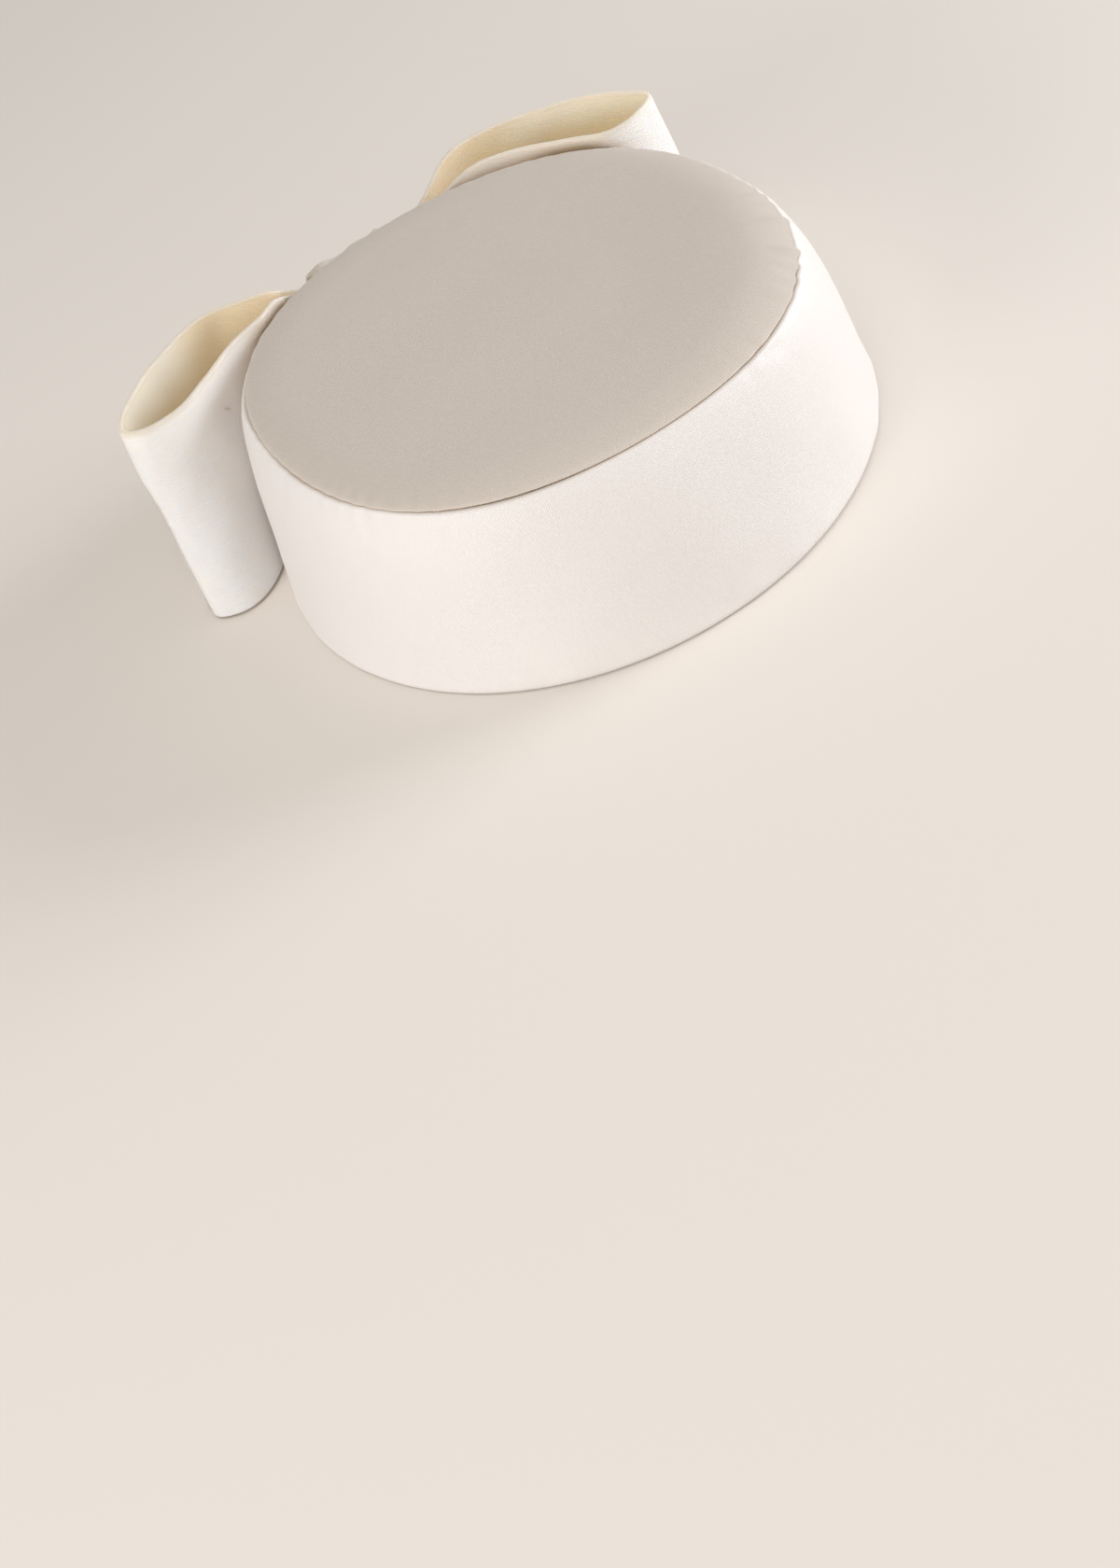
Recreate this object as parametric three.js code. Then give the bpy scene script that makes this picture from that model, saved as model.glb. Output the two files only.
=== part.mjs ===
// A satin pillbox hat: a padded flat tip, a flared side band with a turned-under hem, and a
// two-loop bow that stands against the back of the band, gathered by a knot.
// Millimetres, +Z up. The origin is the centre of the rim, on the surface the hat rests on.
// The wearer looks along -Y, so the bow is on the +Y side.
import * as THREE from "three";

// Crown
const SEAM_RADIUS = 80; // where the tip is sewn to the side band
const SEAM_HEIGHT = 57.6;
const SEAM_GAP = 0.35; // between the tip's edge and the band's upper edge
const RIM_RADIUS = 91.7;
const BAND_SWELL = 2.9; // how far the padding swells the band past a straight cone
const BAND_WALL = 3;
const HEM_HEIGHT = 12; // the satin turned up inside the rim
const HEM_WALL = 4.2;
const RIM_ROLL = 2.4; // radius of the rounded rim
const RIM_FLAT = 1; // the narrow ring that the hat stands on
const TIP_WALL = 2.5;
const TIP_RISE = 3.2; // the tip's middle above the seam
const TIP_ROLL = 8; // width of the tip's rounded edge
const ROUND_STEPS = 72;
const BAND_STEPS = 14;

// The hand-sewn seam isn't a true circle: its radius wanders in two and in four lobes.
const TWO_LOBES = { size: 2.3, turn: THREE.MathUtils.degToRad(218) };
const FOUR_LOBES = { size: 1.6, turn: THREE.MathUtils.degToRad(139) };

// Bow
const BOW_TOP = 60.8;
const BOW_BOTTOM = 1;
const RIBBON_WALL = 2;
const KNOT_TOP = 48; // the ribbon's edges where the knot gathers it
const KNOT_BOTTOM = 12;
const KNOT_HALF_WIDTH = 13;
const KNOT_STRAP = 2;
const KNOT_SWELL = 3; // the knot's rounded front
const KNOT_EDGE_GAP = 2.5; // between the strap and the ribbon's upper and lower edges
const NEAR_CLEARANCE = 2.4; // from the band's surface to the middle of the ribbon next to it
const KNOT_CLEARANCE = 4.5; // the same under the knot, where the knot's strap lies between
const LAYER_SPACING = 3.4;
const RIBBON_STEPS = 60;
const RIBBON_LEVELS = 7;

// Upper edge of each loop seen from above, from the knot along the near layer to the fold
// and back along the far layer. side is the direction of the loop, near the number of points
// on the near layer, lean how far the fold's lower end stands forward and outward, and
// gathered the distance from the middle where the ribbon has its full width again.
const LEFT_LOOP = {
  side: -1,
  near: 6,
  lean: [-7.5, -18],
  gathered: 34,
  plan: [
    [-3, 86], [-20, 81], [-37, 77], [-53, 74], [-67, 67.5], [-80, 63.5],
    [-90, 65.5], [-95, 71], [-91, 78],
    [-79, 88], [-64, 94], [-50, 96], [-39, 90], [-29, 85.5], [-15, 88], [-3, 89.5],
  ],
};
const RIGHT_LOOP = {
  side: 1,
  near: 6,
  lean: [2, -6],
  gathered: 46,
  plan: [
    [3, 86], [20, 81], [38, 75], [54, 64.5], [64, 52], [73, 42],
    [84, 40.5], [92, 45], [91, 51.5],
    [81, 68], [66, 79], [52, 86], [39, 87], [28, 86], [15, 88], [3, 89.5],
  ],
};

const SATIN = { color: 0xf1ebe2, roughness: 0.45, metalness: 0 };
const TIP_SATIN = { color: 0xeee7dc, roughness: 0.5, metalness: 0 };

const lerp = THREE.MathUtils.lerp;
const smoothstep = THREE.MathUtils.smoothstep;

// How far the seam lies from its mean circle in the direction theta.
function seamWander(theta) {
  return (
    TWO_LOBES.size * Math.cos(2 * theta - TWO_LOBES.turn) +
    FOUR_LOBES.size * Math.cos(4 * theta - FOUR_LOBES.turn)
  );
}

// The band's outer surface at the share down of the way from the seam to the rim.
function bandRadius(down) {
  const cone = lerp(SEAM_RADIUS, RIM_RADIUS, down);
  return cone + BAND_SWELL * Math.sin(Math.PI * Math.sqrt(down));
}

// The same surface at a height, with the seam's wander fading out towards the rim.
function surfaceRadius(theta, z) {
  const down = THREE.MathUtils.clamp(1 - z / SEAM_HEIGHT, 0, 1);
  return bandRadius(down) + seamWander(theta) * (1 - down);
}

// Turns a profile of [radius, height] points round the axis, wandering with the seam.
function turned(profile) {
  const points = profile.map(([r, z]) => new THREE.Vector2(r, z));
  const geometry = new THREE.LatheGeometry(points, ROUND_STEPS);
  geometry.rotateX(Math.PI / 2);
  const place = geometry.getAttribute("position");
  for (let i = 0; i < place.count; i++) {
    const [x, y, z] = [place.getX(i), place.getY(i), place.getZ(i)];
    const up = THREE.MathUtils.clamp(z / SEAM_HEIGHT, 0, 1);
    const grow = 1 + (seamWander(Math.atan2(y, x)) * up) / SEAM_RADIUS;
    place.setXYZ(i, x * grow, y * grow, z);
  }
  return geometry;
}

function tipGeometry() {
  const edge = SEAM_HEIGHT + SEAM_GAP;
  const shoulder = SEAM_RADIUS - TIP_ROLL;
  const rollHeight = TIP_RISE * 0.75;
  const profile = [[0, edge + TIP_RISE]];
  profile.push([shoulder * 0.6, edge + TIP_RISE * 0.93]);
  for (let i = 0; i <= 6; i++) {
    const turn = (Math.PI / 2) * (i / 6);
    profile.push([shoulder + TIP_ROLL * Math.sin(turn), edge + rollHeight * Math.cos(turn)]);
  }
  profile.push([SEAM_RADIUS - BAND_WALL, edge]);
  profile.push([shoulder, edge + rollHeight - TIP_WALL + 0.4]);
  profile.push([0, edge + TIP_RISE - TIP_WALL]);
  return turned(profile.reverse());
}

function bandGeometry() {
  const profile = [];
  for (let i = 0; i <= BAND_STEPS; i++) {
    const down = (i / BAND_STEPS) ** 1.35 * (1 - RIM_ROLL / SEAM_HEIGHT);
    profile.push([bandRadius(down), SEAM_HEIGHT * (1 - down)]);
  }
  const rollCentre = profile[BAND_STEPS][0] - RIM_ROLL;
  for (let i = 1; i <= 4; i++) {
    const turn = (Math.PI / 2) * (i / 4);
    profile.push([rollCentre + RIM_ROLL * Math.cos(turn), RIM_ROLL * (1 - Math.sin(turn))]);
  }
  profile.push([rollCentre - RIM_FLAT, 0]);
  const hem = profile[BAND_STEPS][0] - HEM_WALL;
  profile.push([hem, RIM_ROLL / 3], [hem, HEM_HEIGHT * 0.8]);
  profile.push([bandRadius(1 - HEM_HEIGHT / SEAM_HEIGHT) - BAND_WALL, HEM_HEIGHT]);
  for (const down of [0.6, 0.4, 0.2, 0.05]) {
    profile.push([bandRadius(down) - BAND_WALL, SEAM_HEIGHT * (1 - down)]);
  }
  profile.push([SEAM_RADIUS - BAND_WALL, SEAM_HEIGHT]);
  profile.push(profile[0]);
  return turned(profile.reverse());
}

// A closed skin over a grid of points whose rows and columns both run round.
function ringGeometry(rows) {
  const place = rows.flat().flatMap((p) => [p.x, p.y, p.z]);
  const [n, m] = [rows.length, rows[0].length];
  const index = [];
  for (let i = 0; i < n; i++) {
    for (let j = 0; j < m; j++) {
      const a = i * m + j;
      const b = ((i + 1) % n) * m + j;
      const c = ((i + 1) % n) * m + ((j + 1) % m);
      const d = i * m + ((j + 1) % m);
      index.push(a, b, c, a, c, d);
    }
  }
  const geometry = new THREE.BufferGeometry();
  geometry.setAttribute("position", new THREE.Float32BufferAttribute(place, 3));
  geometry.setIndex(index);
  return geometry;
}

// Moves a point of the ribbon out from the axis until it is clear of the band.
function clearOfBand(point, isFar) {
  const free = smoothstep(Math.abs(point.x), KNOT_HALF_WIDTH + 4, KNOT_HALF_WIDTH + 13);
  const nearest = lerp(KNOT_CLEARANCE, NEAR_CLEARANCE, free) + (isFar ? LAYER_SPACING : 0);
  const least = surfaceRadius(Math.atan2(point.y, point.x), point.z) + nearest;
  const now = Math.hypot(point.x, point.y);
  if (now < least) point.set((point.x * least) / now, (point.y * least) / now, point.z);
  return point;
}

// Middle of the ribbon at the share along its closed path and the share up its width.
function ribbonPoint(path, loop, along, up) {
  const point = path.getPoint(along % 1);
  const far = along * loop.plan.length > loop.near + 1.5;
  const out = Math.abs(point.x);
  const full = smoothstep(out, KNOT_HALF_WIDTH + 2, loop.gathered);
  const reach = smoothstep(out, 45, 90) * (1 - up);
  point.x += loop.lean[0] * reach;
  point.y += loop.lean[1] * reach * (far ? 0.8 : 1);
  const low = lerp(KNOT_BOTTOM, BOW_BOTTOM, full);
  const high = lerp(KNOT_TOP, BOW_TOP, full);
  point.z = lerp(low, high, up);
  return clearOfBand(point, far);
}

function loopGeometry(loop) {
  const corners = loop.plan.map(([x, y]) => new THREE.Vector3(x, y, 0));
  const path = new THREE.CatmullRomCurve3(corners, true, "centripetal");
  const rows = [];
  for (let i = 0; i < RIBBON_STEPS; i++) {
    const outer = [];
    const inner = [];
    for (let k = 0; k < RIBBON_LEVELS; k++) {
      const up = k / (RIBBON_LEVELS - 1);
      const along = i / RIBBON_STEPS;
      const middle = ribbonPoint(path, loop, along, up);
      const ahead = ribbonPoint(path, loop, along + 0.004, up).sub(middle).setZ(0).normalize();
      const aside = new THREE.Vector3(-ahead.y, ahead.x, 0).multiplyScalar(RIBBON_WALL / 2);
      outer.push(middle.clone().add(aside));
      inner.push(middle.clone().sub(aside));
    }
    rows.push(loop.side < 0 ? [...inner, ...outer.reverse()] : [...outer, ...inner.reverse()]);
  }
  return ringGeometry(loop.side < 0 ? rows : rows.reverse());
}

// The knot is a strap that runs round the gathered ribbon: behind it, over it and down its
// front. Its path lies in offset (from the band's surface) and height.
function knotPath() {
  const back = KNOT_CLEARANCE - RIBBON_WALL / 2 - 0.5 - KNOT_STRAP / 2;
  const front = KNOT_CLEARANCE + LAYER_SPACING + RIBBON_WALL / 2 + 0.8 + KNOT_STRAP / 2;
  const low = KNOT_BOTTOM - KNOT_EDGE_GAP - KNOT_STRAP / 2;
  const high = KNOT_TOP + KNOT_EDGE_GAP + KNOT_STRAP / 2;
  const middle = (low + high) / 2;
  const swell = front + KNOT_SWELL;
  const points = [
    [back, middle], [back, high - 5], [back + 1, high - 1.2], [(back + front) / 2, high],
    [front, high - 0.8], [swell - 0.8, high - 9], [swell, middle], [swell - 0.8, low + 9],
    [front, low + 0.8], [(back + front) / 2, low], [back + 1, low + 1.2], [back, low + 5],
  ];
  const corners = points.map(([offset, z]) => new THREE.Vector3(offset, z, 0));
  return new THREE.CatmullRomCurve3(corners, true, "centripetal");
}

function knotGeometry() {
  const path = knotPath();
  const steps = 40;
  const across = [-1, -0.5, 0, 0.5, 1];
  const rows = [];
  for (let i = 0; i < steps; i++) {
    const middle = path.getPoint(i / steps);
    const ahead = path.getTangent(i / steps);
    const place = (share, lift) => {
      const z = middle.y - ahead.x * lift;
      const theta = Math.PI / 2 - (share * KNOT_HALF_WIDTH) / RIM_RADIUS;
      const r = surfaceRadius(theta, z) + middle.x + ahead.y * lift;
      return new THREE.Vector3(r * Math.cos(theta), r * Math.sin(theta), z);
    };
    const outer = across.map((share) => place(share, -KNOT_STRAP / 2));
    const inner = across.map((share) => place(share, KNOT_STRAP / 2));
    rows.push([...outer, ...inner.reverse()]);
  }
  return ringGeometry(rows.reverse());
}

function piece(name, geometry, finish) {
  geometry.computeVertexNormals();
  const mesh = new THREE.Mesh(geometry, new THREE.MeshStandardMaterial(finish));
  mesh.name = name;
  return mesh;
}

const hat = new THREE.Group();
hat.name = "pillbox_hat";
hat.add(piece("tip", tipGeometry(), TIP_SATIN));
hat.add(piece("side_band", bandGeometry(), SATIN));
hat.add(piece("bow_loop_left", loopGeometry(LEFT_LOOP), SATIN));
hat.add(piece("bow_loop_right", loopGeometry(RIGHT_LOOP), SATIN));
hat.add(piece("bow_knot", knotGeometry(), SATIN));

export default hat;
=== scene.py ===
"""Satin pillbox hat: a padded tip and side band, and a two-loop ribbon bow at the back.

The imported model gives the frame. Each soft piece is built in its own place over it, in
metres: +Z up, -Y the way the wearer faces, the origin in the middle of the rim.
"""

import math  # noqa: E402

import bpy  # noqa: E402
import numpy as np  # noqa: E402
from mathutils import Matrix, Vector  # noqa: E402


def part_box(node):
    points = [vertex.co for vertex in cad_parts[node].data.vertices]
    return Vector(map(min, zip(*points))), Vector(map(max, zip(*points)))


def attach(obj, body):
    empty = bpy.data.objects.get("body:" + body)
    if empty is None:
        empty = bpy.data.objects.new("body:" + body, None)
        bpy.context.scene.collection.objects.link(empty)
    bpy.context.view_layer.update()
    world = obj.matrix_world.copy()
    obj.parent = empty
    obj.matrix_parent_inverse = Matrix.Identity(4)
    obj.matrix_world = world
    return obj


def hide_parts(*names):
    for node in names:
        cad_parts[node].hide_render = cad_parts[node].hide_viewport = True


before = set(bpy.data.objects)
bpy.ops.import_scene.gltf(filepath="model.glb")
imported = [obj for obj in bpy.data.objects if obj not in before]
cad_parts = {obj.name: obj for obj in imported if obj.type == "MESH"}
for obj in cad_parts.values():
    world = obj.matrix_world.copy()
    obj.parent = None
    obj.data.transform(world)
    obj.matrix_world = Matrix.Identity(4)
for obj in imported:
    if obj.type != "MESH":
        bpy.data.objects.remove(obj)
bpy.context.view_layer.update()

bl_info = {
    "name": "Satin pillbox hat",
    "version": (1, 0, 0),
    "blender": (4, 5, 0),
    "location": "View3D > Sidebar > Hat",
    "description": "Builds a satin pillbox hat with a ribbon bow",
    "category": "Object",
}

MM = 0.001
SEAM_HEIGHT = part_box("side_band")[1].z
TIP_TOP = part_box("tip")[1].z
SEAM_RADIUS = 80 * MM
RIM_RADIUS = 91.7 * MM
CLOTH_RADIUS = 86 * MM  # the band's cloth is measured along a round of this radius
ROUND_STEPS = 540  # points round the crown

SEAM_GAP = 0.35 * MM  # the tip's edge stands this far over the band's top
GATHER_REACH = 7.5 * MM  # how far the seam's gathers run in over the tip
GATHER_SIDEWAYS = 0.75  # share of a gather's depth that moves the cloth out or in
ROLL_SHARE = 0.84  # height of the tip's rounded edge, as a share of the tip's rise
SOFT_EDGE_LEAST = 0.3  # least share by which the rounded edge slopes off early
PLUMP_HEIGHT = 2.0 * MM  # most that the padding lifts the tip just inside its edge
TIP_ABOVE_CAD = 2 * MM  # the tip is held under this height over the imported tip's top

LIP = 1.0 * MM  # radius of the band's rounded top
RIM_ROLL = 2.4 * MM  # radius of the rounded rim
WALL = 3.0 * MM  # from the band's outside to the inside of its wall
HEM_WALL = 4.2 * MM  # from the band's outside to the inside of the turned-under hem
HEM_HEIGHT = 12 * MM

# The hand-sewn seam isn't a true circle: its radius wanders in two and in four lobes.
# Each has its count, its size and the direction it turns to.
LOBES = ((2, 2.3 * MM, math.radians(218)), (4, 1.6 * MM, math.radians(139)))

# Upper edge of each loop seen from above, from the knot along the near layer to the fold
# and back along the far layer, in millimetres. Left and right are those of somebody who
# faces the wearer, so the left loop is at -X, on the wearer's right.
LEFT_PLAN = (
    (-3, 86), (-20, 81), (-37, 77), (-53, 74), (-67, 67.5), (-80, 63.5), (-90, 65.5),
    (-95, 71), (-91, 78), (-79, 88), (-64, 94), (-50, 96), (-39, 90), (-29, 85.5),
    (-15, 88), (-3, 89.5),
)
RIGHT_PLAN = (
    (3, 86), (20, 81), (38, 75), (54, 64.5), (64, 52), (73, 42), (84, 40.5), (92, 45),
    (91, 51.5), (81, 68), (66, 79), (52, 86), (39, 87), (28, 86), (15, 88), (3, 89.5),
)
FAR_START = 7.5  # place along a plan, counted in its points, where the far layer starts

KNOT_HALF_WIDTH = 13 * MM
KNOT_LOW = 12 * MM
KNOT_HIGH = 48 * MM
NEAR_CLEARANCE = 2.5 * MM
KNOT_CLEARANCE = 4.5 * MM
LAYER_SPACING = 3.4 * MM
STRAP_HALF = 0.9 * MM  # half the thickness of the knot's strap
EDGE_TURNS = 7  # directions round a long edge of the ribbon, from face to face

TACK_PLACE = (-64 * MM, 64 * MM, 48 * MM)
TACK_DIMPLES = ((1.3 * MM, 6.5 * MM), (0.5 * MM, 2.0 * MM))  # depth and width of each
STITCH_HALF = 1.4 * MM  # half the length of the tack
THREAD_HALF = 0.28 * MM  # half the thickness of its thread

# Scales of the weave's noises: the sway of the twill lines, the slubs and the crinkles.
SWAY_SCALE, SLUB_SCALE, CRINKLE_SCALE = 60, 900, 95
TWILL_SWAY = 0.0012  # metres by which the twill lines wander
WEAVE_DEPTH = 0.00009  # metres of relief in the weave
DARK_THREAD = 0.90  # the darkest threads, as a share of the satin's colour
# Colour of painted shade, mixed into the satin in seams and crevices, along the ribbon's upper rims
# and on the knot's top.
PAINTED_SHADE_COLOUR = (0.60, 0.52, 0.44, 1)

LIGHT_AIM = (0, 0, 0.03)
# Place and diameter in metres and colour of each lamp; its power is a stage setting.
LIGHTS = {
    "key": ((1.33, -0.48, 0.42), 0.8, (0.95, 0.965, 1.0)),
    "side": ((-1.35, -0.36, 0.32), 0.9, (1.0, 0.985, 0.985)),
    "front": ((-0.75, -1.2, 0.36), 0.9, (1.0, 0.97, 0.94)),
    "top": ((-0.45, -0.4, 1.5), 0.9, (1.0, 0.965, 0.925)),
}
FILL_COLOUR = (1.0, 0.96, 0.915, 1)
FLOOR_SIZE = 8

CAMERA_AIM = (-0.0848, -0.0959, 0)
CAMERA_AZIMUTH, CAMERA_ELEVATION, CAMERA_ROLL = -20.94, 42.06, -25.85  # degrees
CAMERA_LENS, CAMERA_SENSOR = 60, 36  # millimetres


# ---------------------------------------------------------------- settings

class HatCrownSettings(bpy.types.PropertyGroup):
    """Shape and colours of the crown."""
    swell: bpy.props.FloatProperty(
        name="Band swell", description="How far the padding swells the side band",
        default=2.9 * MM, unit="LENGTH")
    tip_rise: bpy.props.FloatProperty(
        name="Tip rise", description="Height of the tip's middle over the seam",
        default=3.5 * MM, unit="LENGTH")
    tip_roll: bpy.props.FloatProperty(
        name="Tip roll", description="Width of the tip's rounded edge",
        default=15 * MM, unit="LENGTH")
    pucker: bpy.props.FloatProperty(
        name="Seam pucker", description="Depth of the gathers along the seam",
        default=0.55 * MM, unit="LENGTH")
    # The tip is the same satin as the band; its darker colour is painted shade, for a top that lies in
    # shade.
    shaded_tip_colour: bpy.props.FloatVectorProperty(
        name="Tip satin", description="Colour of the tip's satin", subtype="COLOR",
        size=3, default=(0.64, 0.575, 0.512))
    band_colour: bpy.props.FloatVectorProperty(
        name="Band satin", description="Colour of the side band's satin", subtype="COLOR",
        size=3, default=(0.825, 0.79, 0.768))


class HatBowSettings(bpy.types.PropertyGroup):
    """Shape and colours of the bow."""
    thickness: bpy.props.FloatProperty(
        name="Ribbon thickness", description="Thickness of the doubled ribbon",
        default=1.7 * MM, unit="LENGTH")
    top: bpy.props.FloatProperty(
        name="Upper edge", description="Height of the loops' upper edge",
        default=60.8 * MM, unit="LENGTH")
    bottom: bpy.props.FloatProperty(
        name="Lower edge", description="Height of the loops' lower edge",
        default=1 * MM, unit="LENGTH")
    pleat_depth: bpy.props.FloatProperty(
        name="Pleat depth", description="Depth of the gathers next to the knot",
        default=0.75 * MM, unit="LENGTH")
    colour: bpy.props.FloatVectorProperty(
        name="Ribbon satin", description="Colour of the ribbon's face", subtype="COLOR",
        size=3, default=(0.895, 0.83, 0.785))
    # The ribbon's back colours are painted shade with a painted warm glow: paler out by the folds,
    # deeper next to the knot.
    inner_shade_colour: bpy.props.FloatVectorProperty(
        name="Ribbon back in shade", description="Colour of the ribbon inside the loops' outer ends",
        subtype="COLOR", size=3, default=(0.89, 0.795, 0.68))
    deep_shade_colour: bpy.props.FloatVectorProperty(
        name="Deep ribbon back in shade", description="Colour inside the loops, next to the knot",
        subtype="COLOR", size=3, default=(0.86, 0.71, 0.545))


class HatStageSettings(bpy.types.PropertyGroup):
    """The floor, the lights and the camera."""
    floor_colour: bpy.props.FloatVectorProperty(
        name="Floor", description="Colour of the floor", subtype="COLOR",
        size=3, default=(0.80, 0.755, 0.705))
    key_power: bpy.props.FloatProperty(
        name="Key light", description="Power of the soft light on the wearer's left",
        default=18.6, unit="POWER")
    side_power: bpy.props.FloatProperty(
        name="Side light", description="Power of the low soft light on the wearer's right",
        default=9.6, unit="POWER")
    front_power: bpy.props.FloatProperty(
        name="Front light", description="Power of the weak soft light in front of the hat",
        default=1.8, unit="POWER")
    top_power: bpy.props.FloatProperty(
        name="Top light", description="Power of the soft light over the hat",
        default=7.0, unit="POWER")
    fill_strength: bpy.props.FloatProperty(
        name="Fill", description="Strength of the light from all round",
        default=0.40, min=0.0)
    distance: bpy.props.FloatProperty(
        name="Camera distance", description="From the camera to the floor point it aims at",
        default=0.6836, unit="LENGTH")


# ---------------------------------------------------------------- small tools

def smoothstep(value, low, high):
    """0 below low and 1 above high, with a smooth rise between."""
    share = np.clip((value - low) / (high - low), 0, 1)
    return share * share * (3 - 2 * share)


def lerp(a, b, share):
    """The value at this share of the way from a to b."""
    return a + (b - a) * share


def round_ripple(theta, lowest, highest, seed):
    """A ripple of unit size round a circle, with whole waves from lowest to highest."""
    rng = np.random.default_rng(seed)
    waves = np.arange(lowest, highest + 1)
    total = np.zeros_like(theta)
    for wave in waves:
        total += rng.normal() * np.cos(wave * theta + rng.uniform(0, 2 * math.pi))
    return total / math.sqrt(len(waves) / 2)


def soft_waves(points, length, seed, count=14):
    """Smooth hollows and swells of unit size, about length across, at these points."""
    rng = np.random.default_rng(seed)
    total = np.zeros(points.shape[:-1])
    for _ in range(count):
        direction = rng.normal(size=3)
        direction *= 2 * math.pi / (length * rng.uniform(0.7, 1.6) * np.linalg.norm(direction))
        total += np.cos(points @ direction + rng.uniform(0, 2 * math.pi))
    return total / math.sqrt(count / 2)


def bump_at(distance, width):
    """1 at no distance, falling smoothly: about a third at width, almost nothing at twice it."""
    return np.exp(-((distance / width) ** 2))


def drop_selection():
    """Leaves edit mode and selects nothing."""
    if bpy.context.object and bpy.context.object.mode != "OBJECT":
        bpy.ops.object.mode_set(mode="OBJECT")
    bpy.ops.object.select_all(action="DESELECT")


def only(piece):
    """Selects this piece alone and makes it the active one."""
    drop_selection()
    piece.select_set(True)
    bpy.context.view_layer.objects.active = piece


def cloth_mesh(name, rows, cloth_uv, masks, closed_rows=True, poles=()):
    """A skin over rows of points that run round, with a cloth UV map and point masks.

    closed_rows joins the last row to the first; poles are middle points that close the
    first and the last row instead.
    """
    count, width = rows.shape[:2]
    points = rows.reshape(-1, 3)
    first = np.arange(count if closed_rows else count - 1)[:, None] * width
    step = np.arange(width)[None, :]
    after = (step + 1) % width
    next_row = (first + width) % (count * width)
    quads = np.stack(
        [first + step, next_row + step, next_row + after, first + after], axis=-1
    ).reshape(-1, 4)
    faces = [tuple(int(i) for i in quad) for quad in quads]
    points = [tuple(float(v) for v in p) for p in points]
    for place, row, turn in poles:
        points.append(tuple(place))
        base = row * width
        for i in range(width):
            ends = (base + i, base + (i + 1) % width)
            faces.append((*(ends if turn else ends[::-1]), len(points) - 1))
    mesh = bpy.data.meshes.new(name)
    mesh.from_pydata(points, [], faces)
    piece = bpy.data.objects.new(name, mesh)
    bpy.context.scene.collection.objects.link(piece)
    flat = np.concatenate([cloth_uv.reshape(-1, 2), np.zeros((len(poles), 2))])
    layer = mesh.uv_layers.new(name="cloth")
    corner_points = np.empty(len(mesh.loops), np.int32)
    mesh.loops.foreach_get("vertex_index", corner_points)
    layer.data.foreach_set("uv", flat[corner_points].astype(np.float32).ravel())
    for label, values in masks.items():
        attribute = mesh.attributes.new(label, "FLOAT", "POINT")
        full = np.concatenate([values.ravel(), np.zeros(len(poles))])
        attribute.data.foreach_set("value", full.astype(np.float32))
    finish_faces(piece)
    return piece


def finish_faces(piece):
    """Turns the faces outwards and shades them smooth."""
    only(piece)
    bpy.ops.object.mode_set(mode="EDIT")
    bpy.ops.mesh.select_all(action="SELECT")
    bpy.ops.mesh.normals_make_consistent(inside=False)
    bpy.ops.object.mode_set(mode="OBJECT")
    bpy.ops.object.shade_smooth()
    drop_selection()


def place_in_frame(piece, node, material):
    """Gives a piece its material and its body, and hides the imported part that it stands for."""
    piece.data.materials.clear()
    piece.data.materials.append(material)
    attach(piece, "root")
    if node:
        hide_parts(node)


# ---------------------------------------------------------------- crown shapes

def seam_wander(theta):
    """How far the seam lies off its circle in each direction."""
    return sum(size * np.cos(count * theta - turn) for count, size, turn in LOBES)


def band_radius(down):
    """Radius of the band's outside at the share down of the way to the rim."""
    swell = bpy.context.scene.hat_crown.swell
    return lerp(SEAM_RADIUS, RIM_RADIUS, down) + swell * np.sin(math.pi * np.sqrt(down))


def surface_radius(theta, height):
    """Radius of the band's outside in a direction, at a height."""
    down = np.clip(1 - height / SEAM_HEIGHT, 0, 1)
    return band_radius(down) + seam_wander(theta) * (1 - down)


def turn_from(theta, degrees):
    """Turn from the direction named to each direction, at most half a turn either way."""
    return (theta - math.radians(degrees) + math.pi) % (2 * math.pi) - math.pi


def angle_from(theta, degrees):
    """Size of the angle between each direction and the one named."""
    return np.abs(turn_from(theta, degrees))


def pucker_size(theta):
    """How strongly the seam is gathered: most at the wearer's left front, less elsewhere."""
    left_front = 0.85 * bump_at(angle_from(theta, -45), math.radians(24))
    right = 0.35 * bump_at(angle_from(theta, -158), math.radians(18))
    back = 0.22 * bump_at(angle_from(theta, 75), math.radians(60))
    return 0.06 + left_front + right + back


def soft_edge(theta):
    """Share by which the rounded edge slopes off early: most at the wearer's left front."""
    more = 1 - SOFT_EDGE_LEAST
    return SOFT_EDGE_LEAST + more * bump_at(angle_from(theta, -40), math.radians(38))


def seam_puckers(theta):
    """Gathers along the seam, as shares of their depth."""
    fine = round_ripple(theta, 56, 92, 11)
    broad = round_ripple(theta, 24, 40, 12)
    return (0.75 * fine + 0.45 * broad) * pucker_size(theta)


# Shallow dents of the band: direction in degrees, height, half width, half height, depth.
BAND_DENTS = (
    (-150, 52.5 * MM, 21 * MM, 5 * MM, 0.75 * MM),
    (-139, 46.5 * MM, 9 * MM, 5 * MM, 0.30 * MM),
    (-69.8, 55.0 * MM, 3.2 * MM, 2.2 * MM, 0.55 * MM),
    (-46, 50.5 * MM, 3.5 * MM, 8 * MM, 0.50 * MM),
    (-36, 44 * MM, 5 * MM, 10 * MM, 0.45 * MM),
    (-64, 31 * MM, 9 * MM, 12 * MM, 0.30 * MM),
    (-96, 54 * MM, 12 * MM, 3 * MM, 0.25 * MM),
    (35, 50 * MM, 8 * MM, 6 * MM, 0.35 * MM),
)


def band_dents(theta, height):
    """How far the dents move the band, less than nothing being inward."""
    total = np.zeros_like(theta)
    for degrees, level, half_width, half_height, depth in BAND_DENTS:
        across = turn_from(theta, degrees) * RIM_RADIUS / half_width
        total -= depth * np.exp(-(across**2) - ((height - level) / half_height) ** 2)
    return total


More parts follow.
